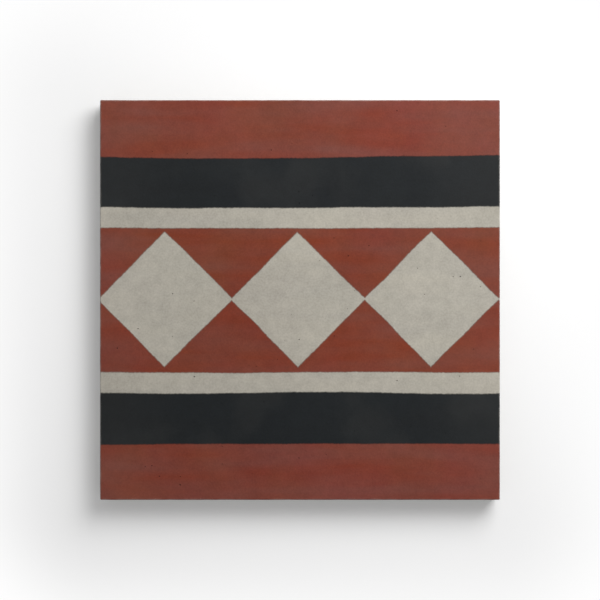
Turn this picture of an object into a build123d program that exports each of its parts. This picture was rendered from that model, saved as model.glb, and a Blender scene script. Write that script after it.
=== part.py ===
from build123d import *
from build123d.topology import SkipClean
import os

# Cement border tile: coloured cement is poured into the cells of a divider, backed with dry mortar,
# and the whole is pressed in a square steel mould, so the finished tile is one piece.
# Millimetres. The tile lies face up: +X runs along the bands, +Y across them, +Z out of the face.
# The origin is the middle of the back.

# Bands of the face, from each long edge to the middle. Together they fill the mould.
RED_BAND = 28.0
DARK_BAND = 25.5
CREAM_STRIPE = 10.5
DIAMOND_BAND = 72.0

# Row of cream diamonds set point to point in the middle band.
DIAMOND_COUNT = 3
DIAMOND_HEIGHT = 67.5
TIP_GAP = 0.4

# Body of the tile.
THICKNESS = 16.0
COLOUR_DEPTH = 3.0
CORNER_EASE = 0.6
FACE_EASE = 0.5
BACK_EASE = 1.0

# Shallow panel that the press ram leaves in the back, where the bedding mortar keys in.
KEY_RIM = 18.0
KEY_DEPTH = 1.0
KEY_SLOPE = 45.0
KEY_CORNER = 6.0

SIDE = DIAMOND_BAND + 2 * (CREAM_STRIPE + DARK_BAND + RED_BAND)
FACE_AREA = Rectangle(SIDE, SIDE)


def pressed_slab():
    """The tile's outer form: a square slab with eased edges and the key panel in its back."""
    slab = extrude(FACE_AREA, THICKNESS)
    slab = fillet(slab.edges().filter_by(Axis.Z), CORNER_EASE)
    slab = fillet(slab.faces().sort_by(Axis.Z)[-1].edges(), FACE_EASE)
    slab = fillet(slab.faces().sort_by(Axis.Z)[0].edges(), BACK_EASE)
    panel_side = SIDE - 2 * KEY_RIM
    panel = RectangleRounded(panel_side, panel_side, KEY_CORNER)
    return slab - extrude(panel, KEY_DEPTH, taper=KEY_SLOPE)


def band_pair(inner, width):
    """Two straight bands along X, as far from the middle line as inner, one on each side of it."""
    middle = inner + width / 2
    band = Rectangle(SIDE, width)
    return [Pos(0, middle) * band, Pos(0, -middle) * band]


def diamond_row():
    """The diamonds, evenly spaced so that the row runs on into the next tile."""
    pitch = SIDE / DIAMOND_COUNT
    half_width = (pitch - TIP_GAP) / 2
    half_height = DIAMOND_HEIGHT / 2
    outline = [(half_width, 0), (0, half_height), (-half_width, 0), (0, -half_height)]
    diamond = make_face(Polyline(*outline, close=True))
    first = -pitch * (DIAMOND_COUNT - 1) / 2
    return [Pos(first + pitch * place, 0) * diamond for place in range(DIAMOND_COUNT)]


def divider_cells():
    """Every cell of the divider as a flat outline. Together they cover the face."""
    diamonds = diamond_row()
    ground = Rectangle(SIDE, DIAMOND_BAND) - diamonds
    stripe_inner = DIAMOND_BAND / 2
    dark_inner = stripe_inner + CREAM_STRIPE
    red_inner = dark_inner + DARK_BAND
    return [
        ground,
        *diamonds,
        *band_pair(stripe_inner, CREAM_STRIPE),
        *band_pair(dark_inner, DARK_BAND),
        *band_pair(red_inner, RED_BAND),
    ]


def border_tile():
    """The slab with its colours: each pour and the mortar behind them, pressed into one solid.
    The pours are flush, so they show only as seams on the face and on the edges of the tile."""
    slab = pressed_slab()
    colour_bed = THICKNESS - COLOUR_DEPTH
    mortar = slab & extrude(FACE_AREA, colour_bed)
    pours = [slab & Pos(0, 0, colour_bed) * extrude(cell, COLOUR_DEPTH) for cell in divider_cells()]
    with SkipClean():
        return mortar + pours


os.makedirs("parts", exist_ok=True)
tile = border_tile()
export_step(tile, "parts/border_tile.step")
print("solids", len(tile.solids()), "faces", len(tile.faces()), "volume", round(tile.volume, 1))
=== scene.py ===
import bmesh
import bpy
import numpy as np
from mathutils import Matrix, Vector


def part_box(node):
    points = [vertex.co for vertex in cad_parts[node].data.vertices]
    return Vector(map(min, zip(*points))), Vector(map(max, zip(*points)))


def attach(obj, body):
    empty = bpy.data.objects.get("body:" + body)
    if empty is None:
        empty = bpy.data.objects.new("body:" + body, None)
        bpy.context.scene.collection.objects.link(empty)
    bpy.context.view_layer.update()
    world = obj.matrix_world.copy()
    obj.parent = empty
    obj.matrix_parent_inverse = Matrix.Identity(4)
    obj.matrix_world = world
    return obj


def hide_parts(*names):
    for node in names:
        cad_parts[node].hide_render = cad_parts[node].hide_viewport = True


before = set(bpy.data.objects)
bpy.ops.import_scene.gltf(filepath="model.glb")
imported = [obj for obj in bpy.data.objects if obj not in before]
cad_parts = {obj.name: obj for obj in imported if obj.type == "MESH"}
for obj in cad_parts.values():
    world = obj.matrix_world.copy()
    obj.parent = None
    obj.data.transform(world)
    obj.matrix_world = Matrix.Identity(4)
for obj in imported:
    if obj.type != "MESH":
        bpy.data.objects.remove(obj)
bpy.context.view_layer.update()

# Cement border tile, the whole object. Pigmented cement was poured into the cells of a divider in a
# square steel mould, backed with dry mortar and pressed by a ram, so colours and mortar are one slab.
# It lies on its back, face up, with its bands along X. Sizes here are in millimetres.
MM = 0.001
tile_low, tile_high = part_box("border_tile")
SIDE = (tile_high.x - tile_low.x) / MM
THICKNESS = (tile_high.z - tile_low.z) / MM
CORNER_EASE = 0.6
FACE_EASE = 0.5
BACK_EASE = 1.0
KEY_RIM = 18.0
KEY_DEPTH = 1.0
KEY_CORNER = 6.0

# Grid of the mesh: cells across the face, steps round each eased edge, rows down the side, and rings of
# the back that lie on its rim and on the slope of its key panel. Points within MERGE_REACH are joined.
FACE_CELLS = 160
EASE_STEPS = 4
SIDE_ROWS = 13
RIM_RINGS = 14
SLOPE_RINGS = 2
MERGE_REACH = 0.001

# Unevenness that the press leaves: its depth, and its shortest and longest waves.
FACE_WAVE = (0.06, 30.0, 90.0)
ARRIS_WAVE = (0.12, 4.0, 12.0)
SIDE_WAVE = (0.08, 4.0, 14.0)
BACK_WAVE = (0.30, 4.5, 16.0)
WAVE_COUNT = 40


def edge_profile():
    """Section of the tile's edge, as stations from the rim of the face to the rim of the back: a quarter
    circle over the arris, a straight side, and a quarter circle under the back edge. Gives each station's
    inset from the side, its height, and how far its normal leans from straight up."""
    turn = np.linspace(0, np.pi / 2, EASE_STEPS + 1)
    side = np.linspace(THICKNESS - FACE_EASE, BACK_EASE, SIDE_ROWS + 1)[1:-1]
    inset = [[CORNER_EASE], FACE_EASE * (1 - np.sin(turn)), 0 * side, BACK_EASE * (1 - np.cos(turn))]
    height = [[THICKNESS], THICKNESS - FACE_EASE * (1 - np.cos(turn)), side, BACK_EASE * (1 - np.sin(turn))]
    lean = [[0], turn, 0 * side + np.pi / 2, np.pi / 2 + turn]
    return np.concatenate(inset), np.concatenate(height), np.concatenate(lean)


def face_and_sides():
    """A square sheet of grid lines draped over the slab. Within the core square it lies flat, and each line
    past the core is the next station of the edge profile. At a corner, the larger of a point's two overruns
    is its station, and their difference over the larger turns it through the corner's quarter circle."""
    inset, height, lean = edge_profile()
    last = len(inset) - 1
    line = np.arange(-last, FACE_CELLS + last + 1)
    core = np.clip(line, 0, FACE_CELLS)
    over_x, over_y = np.meshgrid(line - core, line - core, indexing="ij")
    station = np.maximum(abs(over_x), abs(over_y))
    turn = np.pi / 4 * (1 + (abs(over_y) - abs(over_x)) / np.maximum(station, 1))
    out_x = np.sign(over_x) * np.cos(turn)
    out_y = np.sign(over_y) * np.sin(turn)
    core_half = SIDE / 2 - np.maximum(inset, CORNER_EASE)[station]
    radius = np.maximum(CORNER_EASE - inset, 0)[station]
    share_x, share_y = np.meshgrid(2 * core / FACE_CELLS - 1, 2 * core / FACE_CELLS - 1, indexing="ij")
    place = [share_x * core_half + out_x * radius, share_y * core_half + out_y * radius, height[station]]
    normal = [out_x * np.sin(lean)[station], out_y * np.sin(lean)[station], np.cos(lean)[station]]
    return np.stack(place, axis=-1), np.stack(normal, axis=-1)


def keyed_back():
    """Concentric rounded squares, from the middle of the back to its rim. The larger of a point's two grid
    steps from the middle is its ring, which sets the square's half side, corner radius and height, and the
    smaller over the larger is how far it lies along the half side, measured round half of the corner."""
    rim_ring = FACE_CELLS / 2
    panel_ring = rim_ring - RIM_RINGS
    floor_ring = panel_ring - SLOPE_RINGS
    panel_half = SIDE / 2 - KEY_RIM
    floor_half = panel_half - KEY_DEPTH
    step = np.arange(FACE_CELLS + 1) - FACE_CELLS / 2
    step_x, step_y = np.meshgrid(step, step, indexing="ij")
    ring = np.maximum(abs(step_x), abs(step_y))
    rings = [0, floor_ring, panel_ring, rim_ring]
    half = np.interp(ring, rings, [0, floor_half, panel_half, SIDE / 2 - BACK_EASE])
    corner = np.interp(ring, rings, [0, KEY_CORNER - KEY_DEPTH, KEY_CORNER, 0])
    height = np.interp(ring, rings, [KEY_DEPTH, KEY_DEPTH, 0, 0])
    straight = half - corner
    share = np.minimum(abs(step_x), abs(step_y)) / np.maximum(ring, 1)
    run = share * (straight + corner * np.pi / 4)
    turn = np.maximum(run - straight, 0) / np.where(corner > 0, corner, 1)
    along = np.minimum(run, straight) + corner * np.sin(turn)
    out = straight + corner * np.cos(turn)
    steep = abs(step_x) >= abs(step_y)
    x = np.sign(step_x) * np.where(steep, out, along)
    y = np.sign(step_y) * np.where(steep, along, out)
    place = np.stack([x, y, height], axis=-1)
    return place, np.broadcast_to([0.0, 0.0, -1.0], place.shape)


def press_waves(place, shortest, longest, seed):
    """Unevenness from 0 to 1: twice the mean of many cosines of the place, about 0.5. They have random
    directions and phases, and wavelengths spread evenly, by ratio, from the shortest to the longest."""
    draw = np.random.default_rng(seed)
    direction = draw.normal(size=(3, WAVE_COUNT))
    direction /= np.linalg.norm(direction, axis=0)
    length = shortest * (longest / shortest) ** draw.uniform(size=WAVE_COUNT)
    phase = draw.uniform(0, 2 * np.pi, size=WAVE_COUNT)
    waves = np.cos(place @ (direction * 2 * np.pi / length) + phase)
    return np.clip(0.5 + 2 * waves.mean(axis=1), 0, 1)


def pressed(place, normal):
    """Moves each point inwards along its normal by the unevenness of the surface that it is on. Face, side
    and back share it out by the slope of the normal, and the arris has most of it at 45 degrees."""
    up = normal[:, 2]
    out = np.hypot(normal[:, 0], normal[:, 1])
    shares = [np.maximum(up, 0), 2 * out * np.maximum(up, 0), out, np.maximum(-up, 0)]
    depth = 0
    for seed, (share, wave) in enumerate(zip(shares, [FACE_WAVE, ARRIS_WAVE, SIDE_WAVE, BACK_WAVE])):
        depth = depth + share * wave[0] * press_waves(place, wave[1], wave[2], seed)
    return place - normal * depth[:, None]


def grid_faces(rows, first):
    """Corner numbers of the squares of a grid of rows by rows points, whose first point has that number."""
    number = first + np.arange(rows * rows).reshape(rows, rows)
    corners = [number[:-1, :-1], number[1:, :-1], number[1:, 1:], number[:-1, 1:]]
    return np.stack(corners, axis=-1).reshape(-1, 4)


def joined_mesh(name, place, faces):
    """A smooth mesh of these points, in metres, and these faces, with the points that coincide joined."""
    made = bpy.data.meshes.new(name)
    made.from_pydata(place, [], faces)
    joined = bmesh.new()
    joined.from_mesh(made)
    bmesh.ops.remove_doubles(joined, verts=joined.verts, dist=MERGE_REACH * MM)
    joined.to_mesh(made)
    joined.free()
    made.shade_smooth()
    return made


def tile_mesh():
    """The draped sheet and the keyed back as one closed mesh, joined along the rim of the back."""
    sheet, sheet_normal = face_and_sides()
    back, back_normal = keyed_back()
    place = np.concatenate([sheet.reshape(-1, 3), back.reshape(-1, 3)])
    normal = np.concatenate([sheet_normal.reshape(-1, 3), back_normal.reshape(-1, 3)])
    sheet_faces = grid_faces(len(sheet), 0)
    back_faces = grid_faces(len(back), sheet.shape[0] * sheet.shape[1])[:, ::-1]
    faces = np.concatenate([sheet_faces, back_faces])
    return joined_mesh("border_tile_body", pressed(place, normal) * MM, faces)


def linear(code):
    """An sRGB hex colour as linear red, green and blue with full opacity. The sRGB curve is a straight line
    near black, and above that a power of 2.4."""
    parts = np.array([int(code[at:at + 2], 16) for at in (1, 3, 5)]) / 255
    return (*np.where(parts <= 0.04045, parts / 12.92, ((parts + 0.055) / 1.055) ** 2.4), 1.0)


def add_node(tree, kind, sockets=(), **settings):
    """Adds a node with these settings. Each socket, by name or by number, gets a value or a link from
    another node's output. Returns the new node's first output in use, if it has one."""
    node = tree.nodes.new(kind)
    for name, value in settings.items():
        setattr(node, name, value)
    live = [socket for socket in node.inputs if socket.enabled]
    for key, value in dict(sockets).items():
        socket = live[key] if isinstance(key, int) else next(s for s in live if s.name == key)
        if isinstance(value, bpy.types.NodeSocket):
            tree.links.new(value, socket)
        else:
            socket.default_value = value
    return next((socket for socket in node.outputs if socket.enabled), None)


# Cells of the divider: bands, and a row of diamonds whose tips run together. A pour line is where a band
# starts, as its distance from the middle line. The divider was set by hand, so the row lies a little left
# of the middle and beyond it.
DIAMOND_BAND = 72.0
CREAM_STRIPE = 10.5
DARK_BAND = 25.5
STRIPE_LINE = DIAMOND_BAND / 2
DARK_LINE = STRIPE_LINE + CREAM_STRIPE
RED_LINE = DARK_LINE + DARK_BAND
DIAMOND_COUNT = 3
DIAMOND_PITCH = SIDE / DIAMOND_COUNT
DIAMOND_WIDTH = 67.8
DIAMOND_HEIGHT = 67.5
ROW_SHIFT = (-0.9, 0.4, 0.0)

# How the pour lines stray from the divider's straight ones: the size of a bend along X, Y and Z, and its
# reach. LINE_BLUR is half the width over which two pours run into each other.
LINE_STRAYS = [((90.0, 28.0, 28.0), 2.4), ((11.0, 11.0, 11.0), 0.5), ((1.4, 1.4, 1.4), 0.5)]
LINE_BLUR = 0.4

# The divider's far red strip sags towards the middle, left of centre: the place of its deepest point, how
# far the sag reaches from there along X, Y and Z, and its depth.
SAG_PLACE = (-35.0, RED_LINE, THICKNESS)
SAG_REACH = (75.0, 20.0, 75.0)
SAG_DEPTH = 1.4


def strayed_place(tree, place):
    """Where a place lies on the divider's straight plan. Noise, less its mean, moves it for each size of
    bend, and the sag moves it across. The sag is a parabola: its depth times 1 less the square of the
    distance from its deepest point, as a share of its reach."""
    centring = -sum(reach for _, reach in LINE_STRAYS) / 2
    strayed = add_node(tree, "ShaderNodeVectorMath", {0: place, 1: [centring] * 3}, operation="ADD")
    for sizes, reach in LINE_STRAYS:
        scaled = add_node(tree, "ShaderNodeVectorMath", {0: place, 1: sizes}, operation="DIVIDE")
        noise = add_node(tree, "ShaderNodeTexNoise", {"Vector": scaled, "Scale": 1.0, "Detail": 1.0})
        strayed = add_node(
            tree, "ShaderNodeVectorMath", {0: noise.node.outputs["Color"], 1: [reach] * 3, 2: strayed},
            operation="MULTIPLY_ADD")
    off_sag = add_node(tree, "ShaderNodeVectorMath", {0: place, 1: SAG_PLACE}, operation="SUBTRACT")
    scaled = add_node(tree, "ShaderNodeVectorMath", {0: off_sag, 1: SAG_REACH}, operation="DIVIDE")
    square = add_node(tree, "ShaderNodeVectorMath", {0: scaled, 1: scaled}, operation="DOT_PRODUCT")
    sag = add_node(tree, "ShaderNodeMapRange", {"Value": square, "To Min": SAG_DEPTH, "To Max": 0.0})
    across = add_node(tree, "ShaderNodeCombineXYZ", {"Y": sag})
    return add_node(tree, "ShaderNodeVectorMath", {0: strayed, 1: across}, operation="ADD")


def divider_pattern(tree, place):
    """Shares of the pours at a place: outside the diamonds, and past the stripe, dark and red lines. Each
    goes from 0 to 1 across a blurred pour line. A place on the edge of a diamond has a share of the half
    width and a share of the half height that add up to 1."""
    half_width = DIAMOND_WIDTH / 2
    half_height = DIAMOND_HEIGHT / 2
    strayed = strayed_place(tree, place)
    across = add_node(tree, "ShaderNodeSeparateXYZ", {"Vector": strayed}).node.outputs["Y"]
    off_middle = add_node(tree, "ShaderNodeMath", {0: across}, operation="ABSOLUTE")
    shifted = add_node(tree, "ShaderNodeVectorMath", {0: strayed, 1: ROW_SHIFT}, operation="SUBTRACT")
    in_row = add_node(tree, "ShaderNodeSeparateXYZ", {"Vector": shifted}).node.outputs
    off_row = add_node(tree, "ShaderNodeMath", {0: in_row["Y"]}, operation="ABSOLUTE")
    # The row ends at half the side, so that its shift brings in no tip of a further diamond.
    along = add_node(tree, "ShaderNodeClamp", {"Value": in_row["X"], "Min": -SIDE / 2, "Max": SIDE / 2})
    off_centre = add_node(tree, "ShaderNodeMath", {0: along, 1: DIAMOND_PITCH / 2}, operation="PINGPONG")
    # The two shares are scaled by the distance from a diamond's centre to its edge, to be in millimetres.
    square_on = 1 / np.hypot(1 / half_width, 1 / half_height)
    width_part = add_node(
        tree, "ShaderNodeMath", {0: off_centre, 1: square_on / half_width}, operation="MULTIPLY")
    diamond = add_node(
        tree, "ShaderNodeMath", {0: off_row, 1: square_on / half_height, 2: width_part},
        operation="MULTIPLY_ADD")
    lines = [(diamond, square_on)]
    lines += [(off_middle, line) for line in (STRIPE_LINE, DARK_LINE, RED_LINE)]
    return [
        add_node(
            tree, "ShaderNodeMapRange",
            {"Value": distance, "From Min": line - LINE_BLUR, "From Max": line + LINE_BLUR},
            interpolation_type="SMOOTHSTEP")
        for distance, line in lines]


def toned(tree, colour, patterns):
    """Makes a colour lighter and darker by patterns that go from 0 to 1. It is multiplied by 1 plus the sum
    of each pattern, less a half, times its strength."""
    tone = 1 - sum(strength for _, strength in patterns) / 2
    for pattern, strength in patterns:
        tone = add_node(
            tree, "ShaderNodeMath", {0: pattern, 1: strength, 2: tone}, operation="MULTIPLY_ADD")
    return add_node(tree, "ShaderNodeHueSaturation", {"Color": colour, "Value": tone})


# Poured colour: iron oxide red, black and cream cement, darker where two pigments mix along a pour line.
# Pouring along the bands leaves streaks, which change its tone and how full it is, and its hue drifts.
# NOISE_RANGE is the range that a noise pattern mostly keeps to.
BAND_RED = "#773C30"
GROUND_RED = "#76392A"
BLACK_OXIDE = "#1C1F21"
CREAM = "#A9A499"
MIX_DARKENING = 1.2
STREAK_SIZES = (60.0, 9.0, 9.0)
STREAK_TONE = 0.16
FULLNESS_RANGE = {"To Min": 0.94, "To Max": 1.06}
HUE_RANGE = {"To Min": 0.496, "To Max": 0.504}
NOISE_RANGE = {"From Min": 0.3, "From Max": 0.7}


def poured_colour(tree, place, clouds, tones):
    """Colour of the pours: each pour over the one before it by its share, and dark along the line between
    them by the product of the two shares. It is toned by the patterns given and by streaks, which also make
    it fuller, and clouds shift its hue."""
    colour = linear(CREAM)
    for share, pour in zip(divider_pattern(tree, place), [GROUND_RED, CREAM, BLACK_OXIDE, BAND_RED]):
        colour = add_node(
            tree, "ShaderNodeMix", {"Factor": share, "A": colour, "B": linear(pour)}, data_type="RGBA")
        rest = add_node(tree, "ShaderNodeMath", {0: 1.0, 1: share}, operation="SUBTRACT")
        mixed = add_node(tree, "ShaderNodeMath", {0: share, 1: rest}, operation="MULTIPLY")
        kept = add_node(
            tree, "ShaderNodeMath", {0: mixed, 1: -MIX_DARKENING, 2: 1.0}, operation="MULTIPLY_ADD")
        colour = add_node(tree, "ShaderNodeHueSaturation", {"Color": colour, "Value": kept})
    drawn = add_node(tree, "ShaderNodeVectorMath", {0: place, 1: STREAK_SIZES}, operation="DIVIDE")
    streaks = add_node(tree, "ShaderNodeTexNoise", {"Vector": drawn, "Scale": 1.0, "Detail": 2.0})
    colour = toned(tree, colour, [*tones, (streaks, STREAK_TONE)])
    hue = add_node(tree, "ShaderNodeMapRange", {"Value": clouds["Blue"], **NOISE_RANGE, **HUE_RANGE})
    fullness = add_node(tree, "ShaderNodeMapRange", {"Value": streaks, **NOISE_RANGE, **FULLNESS_RANGE})
    return add_node(
        tree, "ShaderNodeHueSaturation", {"Color": colour, "Hue": hue, "Saturation": fullness})


# Lime that the cement sweats out as it cures: a faint haze in patches and towards the ends of the bands.
LIME = "#C9C1B6"
BLOOM_SHARE = 0.010
BLOOM_START = 50.0
BLOOM_PATCHES = {"From Min": 0.48, "From Max": 0.68}


def lime_bloom(tree, place, colour, clouds):
    """Mixes lime into a colour: in the clouds, and from the start of the bloom to the ends of the bands."""
    axes = add_node(tree, "ShaderNodeSeparateXYZ", {"Vector": place}).node.outputs
    along = add_node(tree, "ShaderNodeMath", {0: axes["X"]}, operation="ABSOLUTE")
    ends = add_node(
        tree, "ShaderNodeMapRange",
        {"Value": along, "From Min": BLOOM_START, "From Max": SIDE / 2, "To Max": BLOOM_SHARE},
        interpolation_type="SMOOTHSTEP")
    patches = add_node(
        tree, "ShaderNodeMapRange", {"Value": clouds["Green"], **BLOOM_PATCHES, "To Max": BLOOM_SHARE},
        interpolation_type="SMOOTHSTEP")
    haze = add_node(tree, "ShaderNodeMath", {0: ends, 1: patches}, operation="ADD")
    return add_node(
        tree, "ShaderNodeMix", {"Factor": haze, "A": colour, "B": linear(LIME)}, data_type="RGBA")


# Sand grains and air holes are cut spheres. Each has its spacing, its largest radius, and the share that
# is there. Holes are small and few in the pours, and larger in the mortar. SOFT_RIM is the share of the
# radius over which a rim fades.
SAND_GRAINS = (0.9, 0.8, 1.0)
POUR_HOLES = (3.5, 0.4, 0.4)
MORTAR_HOLES = (3.0, 0.8, 0.6)
SOFT_RIM = 0.3


def cut_spheres(tree, place, spacing, radius, share):
    """Spheres of random radius up to the one given, about as far apart as the spacing, cut by the surface:
    1 in a sphere and 0 outside, and a random number for each sphere. Only that share of them is there."""
    cells = add_node(tree, "ShaderNodeTexVoronoi", {"Vector": place, "Scale": 1 / spacing})
    chance = add_node(
        tree, "ShaderNodeSeparateColor", {"Color": cells.node.outputs["Color"]}).node.outputs
    reach = add_node(
        tree, "ShaderNodeMapRange",
        {"Value": chance["Red"], "From Min": 1 - share, "To Max": radius / spacing})
    inside = add_node(tree, "ShaderNodeMath", {0: reach, 1: cells}, operation="SUBTRACT")
    cut = add_node(
        tree, "ShaderNodeMapRange", {"Value": inside, "From Max": SOFT_RIM * radius / spacing})
    return cut, chance["Green"]


# Backing: grey cement mortar with sharp sand of many tones, pressed almost dry, so it stays grainy.
MORTAR = "#918C83"
SAND = "#9C968B"
SAND_VARIETY = 0.8


def backing_mortar(tree, place, tones):
    """Colour of the mortar, and where its sand shows: grey paste, toned by the patterns given, and grains
    of sand from dark to pale."""
    grains, variety = cut_spheres(tree, place, *SAND_GRAINS)
    sand = toned(tree, linear(SAND), [*tones, (variety, SAND_VARIETY)])
    paste = toned(tree, linear(MORTAR), tones)
    colour = add_node(tree, "ShaderNodeMix", {"Factor": grains, "A": paste, "B": sand}, data_type="RGBA")
    return colour, grains


# Depth of the poured colour, and the size and reach of the bends in its lower edge.
COLOUR_DEPTH = 3.0
EDGE_BEND = 9.0
EDGE_REACH = 2.4
EDGE_BLUR = 0.25


def pour_share(tree, place):
    """1 in the poured colour and 0 in the mortar. The pour ends at its depth below the face, and noise moves
    that line up and down."""
    height = add_node(tree, "ShaderNodeSeparateXYZ", {"Vector": place}).node.outputs["Z"]
    bends = add_node(tree, "ShaderNodeTexNoise", {"Vector": place, "Scale": 1 / EDGE_BEND, "Detail": 3.0})
    level = add_node(tree, "ShaderNodeMath", {0: bends, 1: EDGE_REACH, 2: height}, operation="MULTIPLY_ADD")
    pour_bed = THICKNESS - COLOUR_DEPTH + EDGE_REACH / 2
    return add_node(
        tree, "ShaderNodeMapRange",
        {"Value": level, "From Min": pour_bed - EDGE_BLUR, "From Max": pour_bed + EDGE_BLUR},
        interpolation_type="SMOOTHSTEP")


# The arris is rubbed a little paler by handling, in patches: how far that reaches, and how pale it gets.
RUB_REACH = 1.0
RUB_SHARE = 0.14
RUB_PATCHES = {"From Min": 0.35, "From Max": 0.65}


def rubbed_arris(tree, place, colour, mottle):
    """Mixes lime into a colour along the arris. On face and side alike, the larger distance from the middle
    along X or Y, plus the height, is how near a place is to the arris."""
    off_centre = add_node(tree, "ShaderNodeVectorMath", {0: place}, operation="ABSOLUTE")
    axes = add_node(tree, "ShaderNodeSeparateXYZ", {"Vector": off_centre}).node.outputs
    farthest = add_node(tree, "ShaderNodeMath", {0: axes["X"], 1: axes["Y"]}, operation="MAXIMUM")
    nearness = add_node(tree, "ShaderNodeMath", {0: farthest, 1: axes["Z"]}, operation="ADD")
    arris = SIDE / 2 + THICKNESS
    edge = add_node(
        tree, "ShaderNodeMapRange",
        {"Value": nearness, "From Min": arris - RUB_REACH, "From Max": arris - FACE_EASE / 2,
         "To Max": RUB_SHARE})
    patches = add_node(tree, "ShaderNodeMapRange", {"Value": mottle, **RUB_PATCHES})
    rubbed = add_node(tree, "ShaderNodeMath", {0: edge, 1: patches}, operation="MULTIPLY")
    return add_node(
        tree, "ShaderNodeMix", {"Factor": rubbed, "A": colour, "B": linear(LIME)}, data_type="RGBA")


# Patterns that pours and mortar share, by size: clouds where the pigment settled, mottle, and grit. The
# grit is marble powder and fine sand, drawn coarse enough to show. The grit also sets the relief, and its
# tone is darker where that relief is low. In the mortar, this darkening is partly the sand's own colour and
# partly painted shade in the hollows of the grit. Their strengths as tones follow.
CLOUD_SIZE = 34.0
MOTTLE_SIZE = 5.0
GRIT_SIZE = 0.9
POUR_TONES = (0.30, 0.28, 0.40)
MORTAR_TONES_AND_GRIT_SHADE = (0.35, 0.25, 0.60)

# Relief: height of the grit and the sand, depth of the holes, the painted shade that darkens the colour
# inside the holes, and how far the outlines of grains and holes bend from round.
POUR_GRIT = 0.03
MORTAR_GRIT = 0.20
SAND_HEIGHT = 0.10
HOLE_DEPTH = 0.25
HOLE_PAINTED_SHADE = "#959595"
OUTLINE_BEND = 0.6

# Finish: the steel mould polishes the pours a little, unevenly, and the mortar is dull. Both are open
# and dusty, so they reflect less than cement's usual level.
POUR_ROUGHNESS = {"To Min": 0.5, "To Max": 0.7}
MORTAR_ROUGHNESS = 0.9
SPECULAR_LEVEL = 0.12


def pressed_cement():
    """Pressed pigmented cement on mortar: matt and close-grained, with soft clouds, fine grit and a few air
    holes. The pours are coloured right through, so their colours show on the sides down to the mortar."""
    made = bpy.data.materials.new("pressed_pigmented_cement")
    made.use_nodes = True
    tree = made.node_tree
    tree.nodes.clear()
    coordinates = add_node(tree, "ShaderNodeTexCoord").node.outputs["Object"]
    place = add_node(tree, "ShaderNodeVectorMath", {0: coordinates, 1: [1 / MM] * 3}, operation="MULTIPLY")
    settled = add_node(tree, "ShaderNodeTexNoise", {"Vector": place, "Scale": 1 / CLOUD_SIZE, "Detail": 4.0})
    clouds = add_node(
        tree, "ShaderNodeSeparateColor", {"Color": settled.node.outputs["Color"]}).node.outputs
    mottle = add_node(tree, "ShaderNodeTexNoise", {"Vector": place, "Scale": 1 / MOTTLE_SIZE, "Detail": 3.0})
    grit = add_node(tree, "ShaderNodeTexNoise", {"Vector": place, "Scale": 1 / GRIT_SIZE, "Detail": 2.0})
    uneven = add_node(
        tree, "ShaderNodeVectorMath", {0: grit.node.outputs["Color"], 1: [OUTLINE_BEND] * 3, 2: place},
        operation="MULTIPLY_ADD")

    poured = pour_share(tree, place)
    # Painted shade, in part: the grit tone darkens the mortar where its relief is low.
    mortar, grains = backing_mortar(tree, uneven, list(zip([clouds["Blue"], mottle, grit], MORTAR_TONES_AND_GRIT_SHADE)))
    pours = poured_colour(tree, place, clouds, list(zip([clouds["Red"], mottle, grit], POUR_TONES)))
    pours = lime_bloom(tree, place, pours, clouds)
    colour = add_node(tree, "ShaderNodeMix", {"Factor": poured, "A": mortar, "B": pours}, data_type="RGBA")
    colour = rubbed_arris(tree, place, colour, mottle)
    pour_holes, _ = cut_spheres(tree, uneven, *POUR_HOLES)
    mortar_holes, _ = cut_spheres(tree, uneven, *MORTAR_HOLES)
    holes = add_node(tree, "ShaderNodeMix", {"Factor": poured, "A": mortar_holes, "B": pour_holes})
    # Painted shade: the colour inside the holes is darkened, standing in for the shade that falls in them.
    colour = add_node(
        tree, "ShaderNodeMix", {"Factor": holes, "A": colour, "B": linear(HOLE_PAINTED_SHADE)},
        data_type="RGBA", blend_type="MULTIPLY")

    grit_height = add_node(
        tree, "ShaderNodeMapRange", {"Value": poured, "To Min": MORTAR_GRIT, "To Max": POUR_GRIT})
    sand_height = add_node(
        tree, "ShaderNodeMapRange", {"Value": poured, "To Min": SAND_HEIGHT, "To Max": 0.0})
    relief = add_node(tree, "ShaderNodeMath", {0: grit, 1: grit_height}, operation="MULTIPLY")
    relief = add_node(
        tree, "ShaderNodeMath", {0: grains, 1: sand_height, 2: relief}, operation="MULTIPLY_ADD")
    relief = add_node(
        tree, "ShaderNodeMath", {0: holes, 1: -HOLE_DEPTH, 2: relief}, operation="MULTIPLY_ADD")
    bump = add_node(tree, "ShaderNodeBump", {"Height": relief, "Distance": MM, "Strength": 1.0})
    polish = add_node(tree, "ShaderNodeMapRange", {"Value": clouds["Blue"], **NOISE_RANGE, **POUR_ROUGHNESS})
    roughness = add_node(tree, "ShaderNodeMix", {"Factor": poured, "A": MORTAR_ROUGHNESS, "B": polish})
    shader = add_node(
        tree, "ShaderNodeBsdfPrincipled",
        {"Base Color": colour, "Roughness": roughness, "Normal": bump, "Specular IOR Level": SPECULAR_LEVEL})
    add_node(tree, "ShaderNodeOutputMaterial", {"Surface": shader})
    return made


tile = bpy.data.objects.new("border_tile_body", tile_mesh())
bpy.context.scene.collection.objects.link(tile)
tile.data.materials.append(pressed_cement())
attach(tile, "root")
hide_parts("border_tile")

# Floor, a plain pale sheet that the tile lies on, swept up into a wall all round, as in a photo studio.
# It is white paper: it keeps the tile's soft shadow whole up to SHADOW_CORE from the tile, and is plain
# white from SHADOW_REACH on. Sizes from here on are in metres.
FLOOR_REACH = 1.6
SWEEP_RADIUS = 0.4
WALL_HEIGHT = 1.2
BEND_STEPS = 12
ROUND_STEPS = 64
PAPER = "#E6E6E6"
WHITE = "#FFFFFF"
PAPER_GLOW = 0.15
SHADOW_CORE = 0.01
SHADOW_REACH = 0.08


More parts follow.
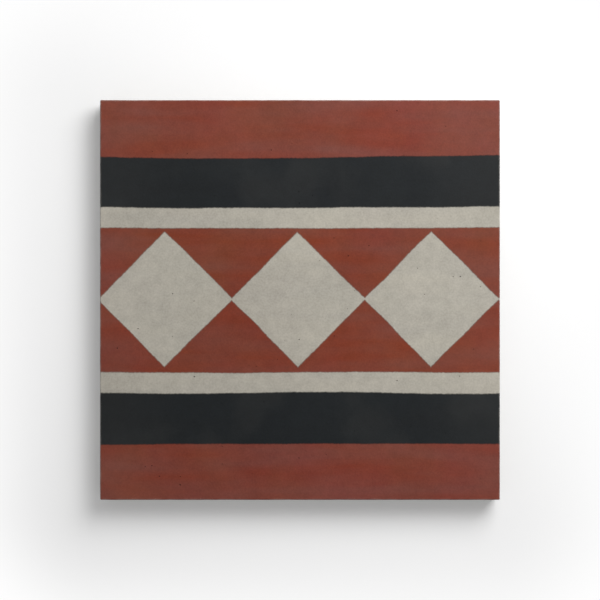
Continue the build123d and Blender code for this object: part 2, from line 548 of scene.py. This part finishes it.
def studio_sweep():
    """Profile of a flat floor, a quarter circle and a wall, carried round a full circle about the tile."""
    bend = np.linspace(0, np.pi / 2, BEND_STEPS + 1)
    wall = FLOOR_REACH + SWEEP_RADIUS
    out = np.concatenate([[0, FLOOR_REACH / 2], FLOOR_REACH + SWEEP_RADIUS * np.sin(bend), [wall]])
    up = np.concatenate([[0, 0], SWEEP_RADIUS * (1 - np.cos(bend)), [WALL_HEIGHT]])
    turn = np.linspace(0, 2 * np.pi, ROUND_STEPS, endpoint=False)
    place = [np.outer(out, np.cos(turn)), np.outer(out, np.sin(turn)), np.outer(up, np.ones(ROUND_STEPS))]
    number = np.arange(len(out) * ROUND_STEPS).reshape(len(out), ROUND_STEPS)
    ahead = np.roll(number, -1, axis=1)
    corners = [number[:-1], number[1:], ahead[1:], ahead[:-1]]
    faces = np.stack(corners, axis=-1).reshape(-1, 4)
    return joined_mesh("studio_floor", np.stack(place, axis=-1).reshape(-1, 3), faces)


def white_paper():
    """White paper, matt. Where it is seen itself it gets just enough glow to be white, and the glow takes
    over from the lamps' light as the paper leaves the tile's shadow. It lights the tile as paper does."""
    made = bpy.data.materials.new("white_paper")
    made.use_nodes = True
    tree = made.node_tree
    tree.nodes.clear()
    place = add_node(tree, "ShaderNodeTexCoord").node.outputs["Object"]
    across = add_node(tree, "ShaderNodeVectorMath", {0: place}, operation="ABSOLUTE")
    half = SIDE * MM / 2
    beside = add_node(tree, "ShaderNodeVectorMath", {0: across, 1: (half, half, 0)}, operation="SUBTRACT")
    beside = add_node(tree, "ShaderNodeVectorMath", {0: beside, 1: (0, 0, 0)}, operation="MAXIMUM")
    distance = add_node(tree, "ShaderNodeVectorMath", {0: beside}, operation="LENGTH")
    clear = add_node(
        tree, "ShaderNodeMapRange", {"Value": distance, "From Min": SHADOW_CORE, "From Max": SHADOW_REACH},
        interpolation_type="SMOOTHSTEP")
    paper = add_node(tree, "ShaderNodeBsdfDiffuse", {"Color": linear(PAPER)})
    lift = add_node(tree, "ShaderNodeEmission", {"Color": linear(WHITE), "Strength": PAPER_GLOW})
    near = add_node(tree, "ShaderNodeAddShader", {0: paper, 1: lift})
    white = add_node(tree, "ShaderNodeEmission", {"Color": linear(WHITE), "Strength": 1.0})
    shown = add_node(tree, "ShaderNodeMixShader", {0: clear, 1: near, 2: white})
    rays = add_node(tree, "ShaderNodeLightPath").node.outputs
    seen = rays["Is Camera Ray"]
    for ray in ("Is Glossy Ray", "Is Transmission Ray"):
        seen = add_node(tree, "ShaderNodeMath", {0: seen, 1: rays[ray]}, operation="MAXIMUM")
    surface = add_node(tree, "ShaderNodeMixShader", {0: seen, 1: paper, 2: shown})
    add_node(tree, "ShaderNodeOutputMaterial", {"Surface": surface})
    return made


floor = bpy.data.objects.new("studio_floor", studio_sweep())
bpy.context.scene.collection.objects.link(floor)
floor.data.materials.append(white_paper())

# Light: an even soft room, and one large soft lamp beyond the far right corner, so that the face is a
# little brighter towards that corner. Together they light the middle of the face as colours are written.
ROOM_LIGHT = 0.38
LAMP_PLACE = (0.276, 0.365, 0.530)
LAMP_SIZE = 0.45
LAMP_SHARE = 0.72

studio = bpy.data.worlds.new("studio")
studio.use_nodes = True
studio.node_tree.nodes["Background"].inputs["Color"].default_value = linear(WHITE)
studio.node_tree.nodes["Background"].inputs["Strength"].default_value = ROOM_LIGHT
bpy.context.scene.world = studio
lamp = bpy.data.objects.new("soft_lamp", bpy.data.lights.new("soft_lamp", "AREA"))
lamp.location = LAMP_PLACE
lamp.rotation_euler = lamp.location.to_track_quat("Z", "Y").to_euler()
lamp.data.size = LAMP_SIZE
# The lamp alone makes a white face this bright: its energy over pi squared, times its height over the
# cube of its distance.
lamp.data.energy = LAMP_SHARE * np.pi ** 2 * lamp.location.length ** 3 / lamp.location.z
bpy.context.scene.collection.objects.link(lamp)

# Camera: straight above the tile, far side up, with its lens in millimetres. The tile fills two thirds of
# the picture's width.
CAMERA_LENS = 100.0
PICTURE_SHARE = 2 / 3
camera = bpy.data.objects.new("camera", bpy.data.cameras.new("camera"))
camera.data.lens = CAMERA_LENS
picture_width = SIDE * MM / PICTURE_SHARE
camera.location.z = THICKNESS * MM + picture_width * CAMERA_LENS / camera.data.sensor_width
bpy.context.scene.collection.objects.link(camera)
bpy.context.scene.camera = camera
bpy.context.scene.view_settings.view_transform = "Standard"
